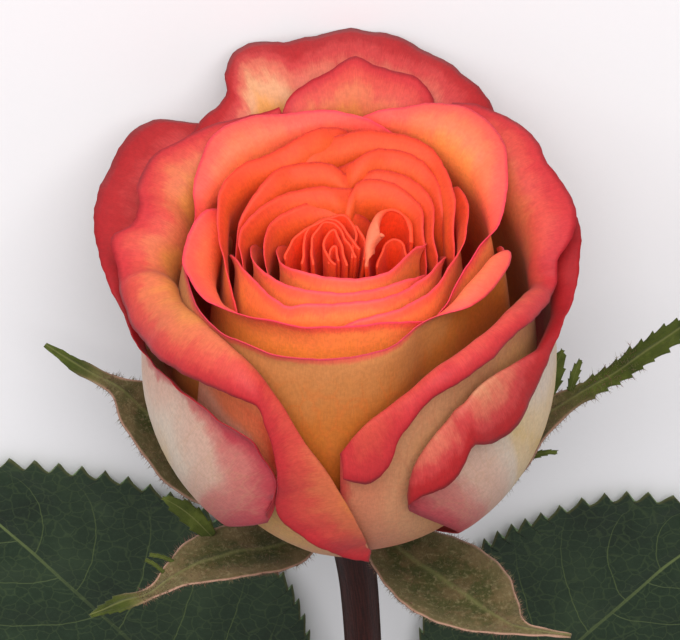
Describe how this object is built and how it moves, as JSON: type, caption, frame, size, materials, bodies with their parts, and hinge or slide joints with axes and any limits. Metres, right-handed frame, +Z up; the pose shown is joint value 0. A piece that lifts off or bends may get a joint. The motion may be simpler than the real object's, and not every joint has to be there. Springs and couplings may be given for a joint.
{
  "type": "cut rose",
  "caption": "Cut orange and crimson garden rose, cup-shaped bloom on a short stem with sepals and two serrated leaves, lying on its side.",
  "frame": {"origin": "middle of the footprint on the table that the flower lies on", "axes": "+Z up from the table, -Y towards the open end of the bloom, +Y towards the cut end of the stem, +X across the flower"},
  "size_m": [0.1398, 0.2391, 0.0708],
  "materials": {
    "petals_outer": "velvety petal, crimson margins over salmon and cream",
    "petals_inner": "velvety petal, vivid orange with magenta margins",
    "stem": "green bark flushed dark purple, satin",
    "sepals": "felted olive green with glandular hairs",
    "leaves": "waxy dark green leaf with sunken veins"
  },
  "bodies": {
    "root": {"petal_outer_left": "petals_outer", "petal_outer_right": "petals_outer", "petal_outer_back": "petals_outer", "petal_second_left": "petals_outer", "petal_second_right": "petals_outer", "petal_second_back": "petals_outer", "petal_third_back_left": "petals_outer", "petal_third_back_right": "petals_outer", "petal_third_left": "petals_outer", "petal_third_front": "petals_outer", "petal_inner_01": "petals_inner", "petal_inner_02": "petals_inner", "petal_inner_03": "petals_inner", "petal_inner_04": "petals_inner", "petal_inner_05": "petals_inner", "petal_inner_06": "petals_inner", "petal_inner_07": "petals_inner", "petal_inner_08": "petals_inner", "petal_inner_09": "petals_inner", "petal_inner_10": "petals_inner", "petal_inner_11": "petals_inner", "petal_inner_12": "petals_inner", "petals_heart": "petals_inner", "stem": "stem", "sepal_left": "sepals", "sepal_front_left": "sepals", "sepal_front_right": "sepals", "sepal_right": "sepals", "sepal_back": "sepals", "leaf_left": "leaves", "leaf_right": "leaves"}
  },
  "joints": []
}
